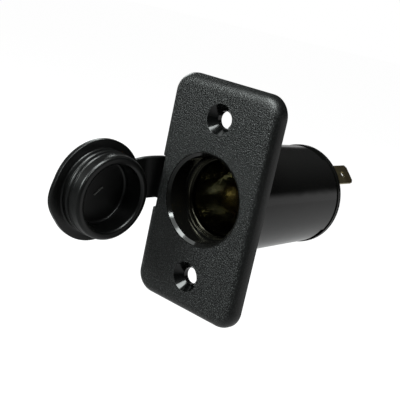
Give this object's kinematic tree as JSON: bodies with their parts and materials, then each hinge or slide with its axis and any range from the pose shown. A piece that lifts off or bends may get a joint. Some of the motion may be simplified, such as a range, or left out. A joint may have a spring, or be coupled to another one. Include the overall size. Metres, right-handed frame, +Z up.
{
  "type": "12v power socket",
  "caption": "Panel mounted 12 volt power socket: rectangular face plate with countersunk screw holes, closed round barrel with blade terminals, and a captive strap cap.",
  "frame": {"origin": "centre of the face plate's back face, on the socket's axis and midway between the screw holes", "axes": "+X right seen from the front, +Y into the panel along the barrel, +Z up along the plate's long side"},
  "size_m": [0.0431, 0.0962, 0.0666],
  "materials": {
    "grained_plastic": "spark-eroded grain, satin",
    "gloss_plastic": "polished black",
    "plated_steel": "yellow passivated, drawn",
    "blade_brass": "dull tinned brass",
    "contact_brass": "turned",
    "zinc_steel": "zinc plated",
    "insulator": "pressed fibre",
    "cap_rubber": "satin moulded"
  },
  "bodies": {
    "socket": {"face_plate": "grained_plastic", "socket_housing": "gloss_plastic", "rear_cover": "gloss_plastic", "contact_well": "plated_steel", "ground_terminal": "blade_brass", "ground_rivet": "plated_steel", "inner_insulator": "insulator", "centre_contact": "contact_brass", "outer_insulator": "insulator", "positive_terminal": "blade_brass", "lock_washer": "zinc_steel", "hex_nut": "zinc_steel", "strap_ring": "cap_rubber"},
    "cap": {"cap": "cap_rubber"}
  },
  "joints": [
    {"name": "cap_hinge", "type": "hinge", "parent": "socket", "child": "cap", "pos_m": [-0.0195, -0.0044, 0], "axis": [-0.0746, -0.0795, 0.994], "range_deg": [-60, 95]}
  ]
}
